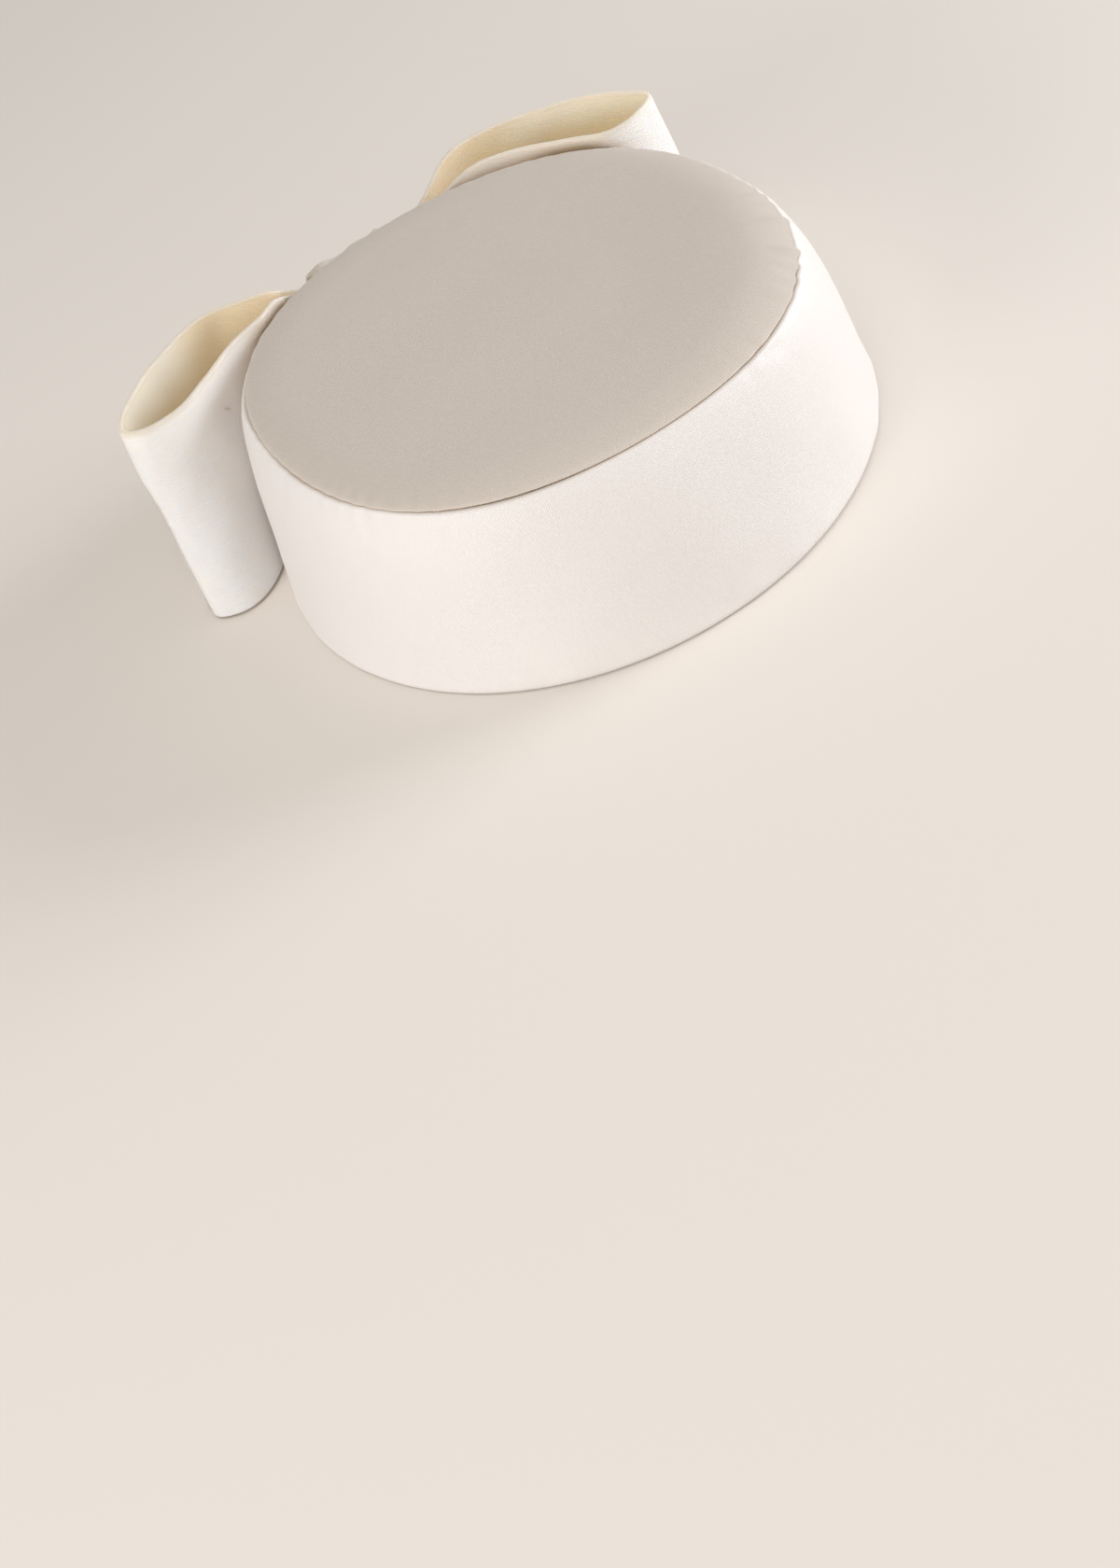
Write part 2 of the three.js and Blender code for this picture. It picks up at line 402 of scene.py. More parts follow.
def tip_profile(crown, shoulder, roll_height):
    """Radius and height of the tip's rows, out over the top and back along the underside.

    How many of the rows are on top comes with them.
    """
    edge = SEAM_HEIGHT + SEAM_GAP
    profile = [
        (r, edge + crown.tip_rise - (crown.tip_rise - roll_height) * (r / shoulder) ** 2)
        for r in np.linspace(0.03, 1, 46) * shoulder
    ]
    for turn in np.linspace(0, math.pi / 2, 15)[1:]:
        profile.append(
            (shoulder + crown.tip_roll * math.sin(turn), edge + roll_height * math.cos(turn))
        )
    outer_rows = len(profile)
    profile += [
        (SEAM_RADIUS - 0.5 * MM, edge - 0.12 * MM),
        (SEAM_RADIUS - 1.6 * MM, edge - 0.05 * MM),
        (SEAM_RADIUS - 3.0 * MM, edge),
        (shoulder, edge + roll_height - 2.1 * MM),
        (shoulder * 0.6, edge + crown.tip_rise - 2.4 * MM),
        (shoulder * 0.05, edge + crown.tip_rise - 2.5 * MM),
    ]
    radius, height = (np.array(v)[:, None] for v in zip(*profile))
    return radius, height, outer_rows


def build_tip():
    """The padded top: nearly flat, with a rounded edge, gathers at the seam and an underside."""
    crown = bpy.context.scene.hat_crown
    theta = np.linspace(0, 2 * math.pi, ROUND_STEPS, endpoint=False)
    shoulder = SEAM_RADIUS - crown.tip_roll
    roll_height = crown.tip_rise * ROLL_SHARE
    radius, height, outer_rows = tip_profile(crown, shoulder, roll_height)
    theta = theta[None, :] + 0 * radius
    grow = 1 + seam_wander(theta) / SEAM_RADIUS
    row = np.arange(len(radius))[:, None]
    on_top = (row < outer_rows).astype(float)
    near_seam = smoothstep(radius, SEAM_RADIUS - GATHER_REACH, SEAM_RADIUS - 0.5 * MM)
    on_roll = np.clip((radius - shoulder) / crown.tip_roll, 0, 1)
    droop = np.sqrt(1 - on_roll**2) - (1 - on_roll**2)
    height = height - on_top * roll_height * droop * soft_edge(theta)
    plump = smoothstep(radius, 30 * MM, shoulder) * (1 - on_roll**2)
    plump = plump * (soft_edge(theta) - SOFT_EDGE_LEAST) / (1 - SOFT_EDGE_LEAST)
    height = height + on_top * PLUMP_HEIGHT * plump
    puckers = seam_puckers(theta) * crown.pucker
    height = height + on_top * near_seam * (1 - near_seam * 0.45) * puckers * 0.5
    radius = radius * grow + near_seam * puckers * GATHER_SIDEWAYS
    points = np.stack([radius * np.cos(theta), radius * np.sin(theta), height], axis=-1)
    calm = on_top * smoothstep(radius, 0, 20 * MM) * (1 - near_seam * 0.6)
    points[..., 2] += calm * 0.10 * MM * soft_waves(points, 40 * MM, 21)
    points[..., 2] += calm * 0.010 * MM * soft_waves(points, 12 * MM, 22)
    points[..., 2] = np.minimum(points[..., 2], TIP_TOP + TIP_ABOVE_CAD)
    # Painted shade along the tip's seam edge and over its underside.
    groove = np.where(row >= outer_rows - 1, 1.0, 0.0) * np.ones_like(theta)
    groove[outer_rows - 2] = 0.3
    masks = {"groove": groove, "inside": 1 - on_top + 0 * theta}
    top, under = points[0].mean(axis=0), points[-1].mean(axis=0)
    poles = ((top, 0, True), (under, len(points) - 1, False))
    return cloth_mesh("tip_cover", points, points[..., :2], masks, closed_rows=False, poles=poles)


def band_rows():
    """Radius, height, painted shade and inside of the band's rows, from the seam round the rim and
    back.
    """
    # The third number of each row is painted shade: in the seam, fading over the lip, and at the top
    # of the hem and of the wall inside.
    rows = [
        (SEAM_RADIUS - 2.6 * MM, SEAM_HEIGHT - 0.55 * MM, 1.0, 0.0),
        (SEAM_RADIUS - 1.7 * MM, SEAM_HEIGHT - 0.35 * MM, 1.0, 0.0),
    ]
    swelled = float(band_radius(LIP / SEAM_HEIGHT))
    for turn in np.linspace(math.pi / 2, 0, 5):
        rows.append((
            swelled - LIP + LIP * math.cos(turn) - 0.3 * MM * math.sin(turn),
            SEAM_HEIGHT - LIP + LIP * math.sin(turn) + 0.03 * MM,
            0.8 * math.sin(turn) ** 6,
            0.0,
        ))
    for down in np.linspace(LIP / SEAM_HEIGHT, 1 - RIM_ROLL / SEAM_HEIGHT, 62)[1:]:
        rows.append((float(band_radius(down)), SEAM_HEIGHT * (1 - down), 0.0, 0.0))
    wall = rows[-1][0]
    for turn in np.linspace(0, math.pi / 2, 8)[1:]:
        reach = wall - RIM_ROLL + RIM_ROLL * math.cos(turn)
        rows.append((reach, RIM_ROLL * (1 - math.sin(turn)), 0.0, 0.0))
    rows += [
        (wall - RIM_ROLL - 1.0 * MM, 0.0, 0.0, 0.3),
        (wall - HEM_WALL + 0.2 * MM, 0.5 * MM, 0.0, 1.0),
        (wall - HEM_WALL, 2.0 * MM, 0.0, 1.0),
    ]
    for height in np.linspace(4 * MM, HEM_HEIGHT - 1 * MM, 6):
        rows.append((wall - HEM_WALL, height, 0.0, 1.0))
    hem = 1 - HEM_HEIGHT / SEAM_HEIGHT
    rows.append((wall - HEM_WALL + 0.2 * MM, HEM_HEIGHT - 0.2 * MM, 0.6, 1.0))
    rows.append((float(band_radius(hem)) - WALL, HEM_HEIGHT + 0.3 * MM, 1.0, 1.0))
    for down in np.linspace(hem - 0.03, 0.03, 20):
        rows.append((float(band_radius(down)) - WALL, SEAM_HEIGHT * (1 - down), 0.0, 1.0))
    rows.append((SEAM_RADIUS - WALL, SEAM_HEIGHT - 0.6 * MM, 0.5, 1.0))
    return (np.array(column)[:, None] for column in zip(*rows))


def build_band():
    """The padded side band with its gathers, dents and soft swells, and the hem inside."""
    crown = bpy.context.scene.hat_crown
    theta = np.linspace(0, 2 * math.pi, ROUND_STEPS, endpoint=False)
    radius, height, groove, inside = band_rows()
    theta = theta[None, :] + 0 * radius
    up = np.clip(height / SEAM_HEIGHT, 0, 1)
    below = SEAM_HEIGHT - height
    radius = radius * (1 + seam_wander(theta) * up / SEAM_RADIUS)
    outside = 1 - inside
    puckers = seam_puckers(theta) * crown.pucker
    radius = radius + outside * puckers * GATHER_SIDEWAYS * np.exp(-below / (4.5 * MM))
    long_folds = round_ripple(theta, 10, 30, 14) * pucker_size(theta)
    radius += outside * 0.12 * MM * long_folds * np.exp(-below / (16 * MM))
    radius += outside * band_dents(theta, height)
    points = np.stack([radius * np.cos(theta), radius * np.sin(theta), height + 0 * theta], axis=-1)
    steady = smoothstep(height, 0, 4 * MM)
    change = 0.16 * MM * soft_waves(points, 36 * MM, 31) + 0.02 * MM * soft_waves(points, 13 * MM, 32)
    rim = 0.12 * MM * round_ripple(theta, 14, 44, 15) * (1 - smoothstep(height, 2 * MM, 12 * MM))
    out = (outside * steady * (change + rim) + inside * steady * change * 0.5) / radius
    points[..., 0] += out * points[..., 0]
    points[..., 1] += out * points[..., 1]
    points[..., 2] += outside * 0.3 * puckers * np.exp(-below / (2.5 * MM))
    cloth_uv = np.stack([theta * CLOTH_RADIUS, height + 0 * theta], axis=-1)
    # The band's painted shade in the seam and at the hem comes from its rows.
    masks = {"groove": groove + 0 * theta, "inside": inside + 0 * theta}
    piece = cloth_mesh("band_cover", points, cloth_uv, masks)
    mend_uv_wrap(piece, 2 * math.pi * CLOTH_RADIUS)
    return piece


def mend_uv_wrap(piece, length):
    """Carries the cloth's length on past its start on the faces that close the round."""
    mesh = piece.data
    layer = mesh.uv_layers["cloth"]
    flat = np.empty(len(mesh.loops) * 2, np.float32)
    layer.data.foreach_get("uv", flat)
    flat = flat.reshape(-1, 2)
    for face in mesh.polygons:
        corners = list(face.loop_indices)
        along = flat[corners, 0]
        if along.max() - along.min() > length / 2:
            flat[corners, 0] = np.where(along < length / 2, along + length, along)
    layer.data.foreach_set("uv", flat.ravel())


# ---------------------------------------------------------------- bow shapes

def closed_curve(plan, along):
    """Points of a smooth closed curve through the plan at these shares of its way."""
    corners = np.array(plan, float) * MM
    count = len(corners)
    place = (along % 1) * count
    start = np.floor(place).astype(int)
    share = (place - start)[..., None]
    p0, p1, p2, p3 = (corners[(start + k) % count] for k in (-1, 0, 1, 2))
    gaps = [np.sqrt(np.linalg.norm(b - a, axis=-1, keepdims=True))
            for a, b in ((p0, p1), (p1, p2), (p2, p3))]
    d0, d1, d2 = gaps
    lead = ((p1 - p0) / d0 - (p2 - p0) / (d0 + d1) + (p2 - p1) / d1) * d1
    trail = ((p2 - p1) / d1 - (p3 - p1) / (d1 + d2) + (p3 - p2) / d2) * d1
    a = 2 * p1 - 2 * p2 + lead + trail
    b = -3 * p1 + 3 * p2 - 2 * lead - trail
    return ((a * share + b) * share + lead) * share + p1


def soft_maximum(a, b, blend):
    """About the larger of the two, rounded over where they are nearly equal."""
    return 0.5 * (a + b + np.sqrt((a - b) ** 2 + blend**2)) - 0.1 * blend


def ribbon_middle(loop, along, up):
    """Middle of the ribbon at the shares along its closed way and up its width."""
    bow = bpy.context.scene.hat_bow
    flat = closed_curve(loop["plan"], along)
    x, y = flat[..., 0], flat[..., 1]
    far = (along % 1) * len(loop["plan"]) > FAR_START
    out = np.abs(x)
    full = smoothstep(out, KNOT_HALF_WIDTH - 1 * MM, loop["gather_end"])
    reach = smoothstep(out, 45 * MM, 90 * MM) * (1 - up)
    x = x + loop["lean"][0] * reach
    y = y + loop["lean"][1] * reach * np.where(far, 0.8, 1.0)
    height = lerp(lerp(KNOT_LOW, bow.bottom, full), lerp(KNOT_HIGH, bow.top, full), up)
    free = smoothstep(np.abs(x), KNOT_HALF_WIDTH + 4 * MM, KNOT_HALF_WIDTH + 13 * MM)
    nearest = lerp(KNOT_CLEARANCE, NEAR_CLEARANCE, free) + np.where(far, LAYER_SPACING, 0)
    least = surface_radius(np.arctan2(y, x), height) + nearest
    now = np.hypot(x, y)
    grow = soft_maximum(now, least, 0.8 * MM) / now
    return np.stack([x * grow, y * grow, height], axis=-1)


def ribbon_folds(loop, along, up, middle):
    """How far the cloth stands off its smooth middle: pleats by the knot and soft swells."""
    bow = bpy.context.scene.hat_bow
    out = np.abs(middle[..., 0])
    gathered = np.exp(-np.maximum(out - KNOT_HALF_WIDTH, 0) / (13 * MM))
    pleats = np.cos(2 * math.pi * (loop["pleats"] * (up - 0.5)) + 0.9 * np.sin(5 * along * math.pi))
    swells = 0.45 * MM * soft_waves(middle, 42 * MM, loop["seed"])
    swells += 0.12 * MM * soft_waves(middle, 15 * MM, loop["seed"] + 1)
    free = smoothstep(out, 20 * MM, 45 * MM)
    total = bow.pleat_depth * pleats * gathered + swells * free
    if loop["tacked"]:
        away = np.linalg.norm(middle - np.array(TACK_PLACE), axis=-1)
        near_layer = (along % 1) * len(loop["plan"]) < FAR_START
        pull = sum(depth * bump_at(away, width) for depth, width in TACK_DIMPLES)
        total = total - np.where(near_layer, pull, 0.0)
    return total


def rounded_edge(centre, aside, outward, half):
    """Rows round a long edge of the ribbon, from its outer face to its inner one."""
    rows = []
    for turn in np.linspace(0, math.pi, EDGE_TURNS)[1:-1]:
        side = aside * half * math.cos(turn)
        row = centre + side + outward * half * math.sin(turn) - outward * half
        rows.append((row, np.full(1, turn / math.pi)))
    return rows


def build_loop(loop):
    """A loop of doubled ribbon, and the length of the ribbon round it."""
    bow = bpy.context.scene.hat_bow
    half = bow.thickness / 2
    steps, levels = 420, 34
    along = np.linspace(0, 1, steps, endpoint=False)[:, None]
    across = np.linspace(0, 1, levels)[None, :]
    middle = ribbon_middle(loop, along, across)
    ahead = np.roll(middle, -1, axis=0) - np.roll(middle, 1, axis=0)
    ahead[..., 2] = 0
    ahead /= np.linalg.norm(ahead, axis=-1, keepdims=True)
    aside = np.stack([-ahead[..., 1], ahead[..., 0], 0 * ahead[..., 0]], axis=-1)
    aside *= loop["outward"]
    centre = middle + aside * ribbon_folds(loop, along, across, middle)[..., None]
    upward = centre[:, -1:] - centre[:, -2:-1]
    upward /= np.linalg.norm(upward, axis=-1, keepdims=True)
    downward = centre[:, :1] - centre[:, 1:2]
    downward /= np.linalg.norm(downward, axis=-1, keepdims=True)
    outer_face = trimmed(centre + aside * half, upward, downward, half, False)
    inner_face = trimmed((centre - aside * half)[:, ::-1], upward, downward, half, True)
    parts = [
        (outer_face, np.zeros(levels)),
        *rounded_edge(centre[:, -1:], aside[:, -1:], upward, half),
        (inner_face, np.ones(levels)),
        *rounded_edge(centre[:, :1], aside[:, :1], downward, half)[::-1],
    ]
    rows = np.concatenate([p for p, _ in parts], axis=1)
    inside = np.concatenate([m for _, m in parts])[None, :] + np.zeros((steps, 1))
    way = np.linalg.norm(np.roll(middle, -1, axis=0) - middle, axis=-1).mean(axis=1)
    travelled = np.concatenate([[0], np.cumsum(way)[:-1]])[:, None] + 0 * inside
    cloth_uv = np.stack([travelled, rows[..., 2]], axis=-1)
    from_knot = np.abs(rows[..., 0])
    rim = rows[..., 2].max(axis=1, keepdims=True)
    # Painted shade along the ribbon's upper rim and in the strip that stands close against the band;
    # on the back inside the loops, a deeper painted shade next to the knot and further down from the
    # rim.
    near_rim = smoothstep(rows[..., 2], rim - 2.0 * MM, rim - 0.4 * MM)
    depth = smoothstep(rim - rows[..., 2], 3 * MM, 16 * MM)
    masks = {
        "inside": inside,
        "groove": np.maximum(hidden_strip(rows) * (1 - inside), 0.6 * near_rim),
        "warm": inside * lerp(1, 0.7 * depth, smoothstep(from_knot, 52 * MM, 68 * MM)),
    }
    piece = cloth_mesh(loop["name"], rows, cloth_uv, masks)
    mend_uv_wrap(piece, float(way.sum()))
    return piece, float(way.sum())


def hidden_strip(rows):
    """Share of shade high on the ribbon where it stands close against the band."""
    theta = np.arctan2(rows[..., 1], rows[..., 0])
    gap = np.hypot(rows[..., 0], rows[..., 1]) - surface_radius(theta, rows[..., 2])
    close = 1 - smoothstep(gap, 2.2 * MM, 5.5 * MM)
    high = smoothstep(rows[..., 2], 40 * MM, 56 * MM)
    return 0.6 * close * high


def trimmed(face, upward, downward, half, is_reversed):
    """Draws a face of the ribbon in by the roundness of its edges."""
    face = face.copy()
    top, bottom = (0, -1) if is_reversed else (-1, 0)
    face[:, top] -= upward[:, 0] * half
    face[:, bottom] -= downward[:, 0] * half
    return face


def knot_way(share):
    """Offset from the band and height of the knot's strap at the share of its round."""
    back = KNOT_CLEARANCE - 2.5 * MM
    front = KNOT_CLEARANCE + LAYER_SPACING + 2.8 * MM
    low, high = KNOT_LOW - 3.5 * MM, KNOT_HIGH + 1.4 * MM
    swell, mid = front + 3 * MM, (low + high) / 2
    between = (back + front) / 2
    corners = [
        (back, mid), (back, high - 5 * MM), (back + MM, high - 1.2 * MM), (between, high),
        (front, high - 0.8 * MM), (swell - 0.8 * MM, high - 9 * MM), (swell, mid),
        (swell - 0.8 * MM, low + 9 * MM), (front, low + 0.8 * MM), (between, low),
        (back + MM, low + 1.2 * MM), (back, low + 5 * MM),
    ]
    return closed_curve(np.array(corners) / MM, share)


def build_tack(cloth):
    """A short stitch that draws the near layer of a loop in, lying on the cloth's face."""
    places = np.array([tuple(v.co) for v in cloth.data.vertices])
    nearest = int(np.argmin(np.linalg.norm(places - np.array(TACK_PLACE), axis=1)))
    base, normal = cloth.data.vertices[nearest].co, cloth.data.vertices[nearest].normal
    along = normal.cross(Vector((0, 0, 1))).normalized()
    up = along.cross(normal).normalized()
    way = (along * 0.8 + up * 0.6).normalized()
    across = way.cross(normal).normalized()
    share = np.linspace(-1, 1, 15)[:, None, None]
    turn = np.linspace(0, 2 * math.pi, 10, endpoint=False)[None, :, None]
    centre = np.array(base) + share * STITCH_HALF * np.array(way)
    centre = centre + (0.35 - 0.6 * share**4) * MM * np.array(normal)
    thick = THREAD_HALF * np.sqrt(1 - 0.9 * share**6)
    rows = centre + thick * (np.cos(turn) * np.array(across) + np.sin(turn) * np.array(normal))
    flat = np.concatenate(np.broadcast_arrays(share * STITCH_HALF, turn * 0.3 * MM), axis=-1)
    poles = ((rows[0].mean(axis=0), 0, True), (rows[-1].mean(axis=0), len(rows) - 1, False))
    return cloth_mesh("tack_stitch", rows, flat, {}, closed_rows=False, poles=poles)


def strap_section():
    """Share of the half width and lift of points round the strap's rounded section."""
    flat = 1 - STRAP_HALF / KNOT_HALF_WIDTH
    faces = np.linspace(-flat, flat, 41)
    turn = np.linspace(math.pi / 2, -math.pi / 2, 9)[1:-1]
    edge = flat + np.cos(turn) * (1 - flat)
    rise = np.sin(turn) * STRAP_HALF
    width = np.concatenate([faces, edge, faces[::-1], -edge])
    lift = np.concatenate([
        np.full(41, STRAP_HALF), rise, np.full(41, -STRAP_HALF), rise[::-1]])
    return width, lift


def build_knot():
    """The strap that gathers the bow, and the length of the satin round it."""
    steps = 180
    share = np.linspace(0, 1, steps, endpoint=False)
    way = knot_way(share)
    ahead = np.roll(way, -1, axis=0) - np.roll(way, 1, axis=0)
    ahead /= np.linalg.norm(ahead, axis=-1, keepdims=True)
    out = np.stack([ahead[:, 1], -ahead[:, 0]], axis=-1)
    width, lift = (v[None, :] for v in strap_section())
    front = smoothstep(way[:, :1], KNOT_CLEARANCE, KNOT_CLEARANCE + 8 * MM)
    pleats = np.cos(width * 2.5 * math.pi + 0.5 * np.sin(7 * share)[:, None])
    waist = 1 - 0.14 * front * np.cos((way[:, 1:] - 30 * MM) / (22 * MM) * math.pi / 2) ** 2
    lift = lift + (0.45 * MM * pleats - 0.9 * MM * width**4) * front
    offset = way[:, :1] + out[:, :1] * lift
    height = way[:, 1:] + out[:, 1:] * lift
    near_top = smoothstep(way[:, 1:], KNOT_HIGH - 4 * MM, KNOT_HIGH + 2 * MM)
    height = height + 2.0 * MM * bump_at(width + 0.7, 0.26) * near_top
    turn = math.pi / 2 - width * waist * KNOT_HALF_WIDTH / RIM_RADIUS
    radius = surface_radius(turn, height) + offset
    rows = np.stack([radius * np.cos(turn), radius * np.sin(turn), height], -1)
    length = np.linalg.norm(np.roll(way, -1, axis=0) - way, axis=-1)
    travelled = np.concatenate([[0], np.cumsum(length)[:-1]])[:, None]
    cloth_uv = np.stack([width * KNOT_HALF_WIDTH + 0 * travelled, travelled + 0 * width], axis=-1)
    # Painted shade on the knot's top.
    shaded = 0.7 * smoothstep(rows[..., 2], KNOT_HIGH - 5 * MM, KNOT_HIGH + MM)
    masks = {"inside": 0 * shaded, "groove": shaded}
    return cloth_mesh("knot_wrap", rows, cloth_uv, masks), length.sum()


# ---------------------------------------------------------------- materials

def new_group(name, inputs, outputs):
    """An empty shader group with these inputs and outputs."""
    group = bpy.data.node_groups.new(name, "ShaderNodeTree")
    for label, kind, value in inputs:
        socket = group.interface.new_socket(name=label, in_out="INPUT", socket_type=kind)
        if value is not None:
            socket.default_value = value
    for label, kind in outputs:
        group.interface.new_socket(name=label, in_out="OUTPUT", socket_type=kind)
    return group


def add_math(tree, operation, a, b=None):
    """Output of a new maths node; a and b are numbers or sockets."""
    node = tree.nodes.new("ShaderNodeMath")
    node.operation = operation
    for socket, value in zip(node.inputs, (a, b)):
        if value is None:
            continue
        if isinstance(value, (int, float)):
            socket.default_value = value
        else:
            tree.links.new(value, socket)
    return node.outputs[0]


def add_noise(tree, place, scale, detail=2.0):
    """Output of a new noise texture at this place."""
    node = tree.nodes.new("ShaderNodeTexNoise")
    node.inputs["Scale"].default_value = scale
    node.inputs["Detail"].default_value = detail
    tree.links.new(place, node.inputs["Vector"])
    return node.outputs["Fac"]


def add_mix(tree, share, a, b):
    """Colour of a new mix node; share, a and b are values or sockets."""
    node = tree.nodes.new("ShaderNodeMix")
    node.data_type = "RGBA"
    for socket, value in ((node.inputs[0], share), (node.inputs[6], a), (node.inputs[7], b)):
        if isinstance(value, bpy.types.NodeSocket):
            tree.links.new(value, socket)
        else:
            socket.default_value = value
    return node.outputs[2]


def satin_weave_group():
    """Twill lines, slubs and soft crinkles of satin, from the cloth's own coordinates."""
    name = "Satin weave"
    if name in bpy.data.node_groups:
        return bpy.data.node_groups[name]
    group = new_group(
        name,
        [("Cloth Place", "NodeSocketVector", None), ("Thread Width", "NodeSocketFloat", 0.0006),
         ("Lean", "NodeSocketFloat", 0.7), ("Crinkle", "NodeSocketFloat", 0.5)],
        [("Height", "NodeSocketFloat"), ("Tone", "NodeSocketFloat"), ("Gloss", "NodeSocketFloat")],
    )
    source = group.nodes.new("NodeGroupInput").outputs
    drain = group.nodes.new("NodeGroupOutput").inputs
    split = group.nodes.new("ShaderNodeSeparateXYZ")
    group.links.new(source["Cloth Place"], split.inputs[0])
    across = add_math(group, "MULTIPLY", split.outputs[0], add_math(group, "COSINE", source["Lean"]))
    along = add_math(group, "MULTIPLY", split.outputs[1], add_math(group, "SINE", source["Lean"]))
    line = add_math(group, "ADD", across, along)
    sway = add_math(group, "MULTIPLY", add_noise(group, source["Cloth Place"], SWAY_SCALE), TWILL_SWAY)
    line = add_math(group, "ADD", line, sway)
    turns = add_math(group, "DIVIDE", line, source["Thread Width"])
    twill = add_math(group, "SINE", add_math(group, "MULTIPLY", turns, 2 * math.pi))
    slub = add_noise(group, source["Cloth Place"], SLUB_SCALE, 3.0)
    crinkle = add_noise(group, source["Cloth Place"], CRINKLE_SCALE, 3.0)
    height = add_math(group, "MULTIPLY", twill, 0.25)
    height = add_math(group, "ADD", height, add_math(group, "MULTIPLY", slub, 0.5))
    lumps = add_math(group, "MULTIPLY", add_math(group, "MULTIPLY", crinkle, 6.0), source["Crinkle"])
    group.links.new(add_math(group, "ADD", height, lumps), drain["Height"])
    tone = add_math(group, "ADD", add_math(group, "MULTIPLY", twill, 0.22), 0.28)
    tone = add_math(group, "ADD", tone, add_math(group, "MULTIPLY", slub, 0.45))
    group.links.new(tone, drain["Tone"])
    gloss = add_math(group, "ADD", add_math(group, "MULTIPLY", crinkle, 0.10), 0.36)
    gloss = add_math(group, "ADD", gloss, add_math(group, "MULTIPLY", slub, 0.06))
    group.links.new(gloss, drain["Gloss"])
    return group


def painted_shade_group():
    """Darkens and warms the satin with painted shade where it goes down into a seam or lies in shade,
    and colours its back.
    """
    name = "Seam shade"
    if name in bpy.data.node_groups:
        return bpy.data.node_groups[name]
    group = new_group(
        name,
        [("Satin", "NodeSocketColor", None), ("Back", "NodeSocketColor", None),
         ("Seam", "NodeSocketColor", None), ("Inside", "NodeSocketFloat", 0.0),
         ("Groove", "NodeSocketFloat", 0.0)],
        [("Color", "NodeSocketColor")],
    )
    source = group.nodes.new("NodeGroupInput").outputs
    drain = group.nodes.new("NodeGroupOutput").inputs
    face = add_mix(group, source["Inside"], source["Satin"], source["Back"])
    # Painted shade: the colour on the Seam socket is mixed in as far as the shade mask says.
    group.links.new(add_mix(group, source["Groove"], face, source["Seam"]), drain["Color"])
    return group


def satin(name, colour, back, lean, crinkle, deep_shaded_back=None):
    """Satin with its weave, the colours of its back, and painted shade in seams, crevices and along
    edges.
    """
    if name in bpy.data.materials:
        return bpy.data.materials[name]
    material = bpy.data.materials.new(name)
    material.use_nodes = True
    tree = material.node_tree
    shader = tree.nodes["Principled BSDF"]
    cloth = tree.nodes.new("ShaderNodeUVMap")
    cloth.uv_map = "cloth"
    weave = tree.nodes.new("ShaderNodeGroup")
    weave.node_tree = satin_weave_group()
    weave.inputs["Lean"].default_value = lean
    weave.inputs["Crinkle"].default_value = crinkle
    tree.links.new(cloth.outputs["UV"], weave.inputs["Cloth Place"])
    masks = {}
    # Masks: the inside, the painted shade, and the deeper painted shade inside the loops.
    for label in ("inside", "groove", "warm"):
        node = tree.nodes.new("ShaderNodeAttribute")
        node.attribute_name = label
        masks[label] = node.outputs["Fac"]
    darker = tuple(c * DARK_THREAD for c in colour)
    toned = add_mix(tree, weave.outputs["Tone"], (*darker, 1), (*colour, 1))
    shade = tree.nodes.new("ShaderNodeGroup")
    shade.node_tree = painted_shade_group()
    tree.links.new(toned, shade.inputs["Satin"])
    # On the ribbon the back's two colours are painted shade, deeper towards the knot.
    backs = add_mix(tree, masks["warm"], (*back, 1), (*(deep_shaded_back or back), 1))
    tree.links.new(backs, shade.inputs["Back"])
    # The colour of the painted shade.
    shade.inputs["Seam"].default_value = PAINTED_SHADE_COLOUR
    tree.links.new(masks["inside"], shade.inputs["Inside"])
    tree.links.new(masks["groove"], shade.inputs["Groove"])
    tree.links.new(shade.outputs["Color"], shader.inputs["Base Color"])
    tree.links.new(weave.outputs["Gloss"], shader.inputs["Roughness"])
    bump = tree.nodes.new("ShaderNodeBump")
    bump.inputs["Strength"].default_value = 1.0
    bump.inputs["Distance"].default_value = WEAVE_DEPTH
    tree.links.new(weave.outputs["Height"], bump.inputs["Height"])
    tree.links.new(bump.outputs["Normal"], shader.inputs["Normal"])
    shader.inputs["Specular IOR Level"].default_value = 0.38
    shader.inputs["Sheen Weight"].default_value = 0.25
    shader.inputs["Sheen Roughness"].default_value = 0.35
    shader.inputs["Sheen Tint"].default_value = (1.0, 0.97, 0.93, 1)
    return material


def ribbon_satin(bow):
    """The bow's satin, which lets some light through."""
    material = satin("Ribbon satin", tuple(bow.colour), tuple(bow.inner_shade_colour), 1.5, 0.15,
                     deep_shaded_back=tuple(bow.deep_shade_colour))
    shader = material.node_tree.nodes["Principled BSDF"]
    shader.inputs["Subsurface Weight"].default_value = 0.8
    shader.inputs["Subsurface Radius"].default_value = (1.0, 0.75, 0.5)
    shader.inputs["Subsurface Scale"].default_value = 0.006
    return material


def silk_thread():
    """Plain thread for the tack."""
    material = bpy.data.materials.new("Silk thread")
    material.use_nodes = True
    shader = material.node_tree.nodes["Principled BSDF"]
    shader.inputs["Base Color"].default_value = (0.58, 0.50, 0.42, 1)
    shader.inputs["Roughness"].default_value = 0.5
    return material


# ---------------------------------------------------------------- operators

class HAT_OT_tip(bpy.types.Operator):
    """Builds the padded satin tip"""

    bl_idname = "hat.tip"
    bl_label = "Padded tip"

    def execute(self, context):
        # The tip's colour, and its back made from it, hold painted shade.
        colour = tuple(context.scene.hat_crown.shaded_tip_colour)
        piece = build_tip()
        back = tuple(c * 0.9 for c in colour)
        material = satin("Tip satin", colour, back, 0.0, 0.1)
        place_in_frame(piece, "tip", material)
        return {"FINISHED"}


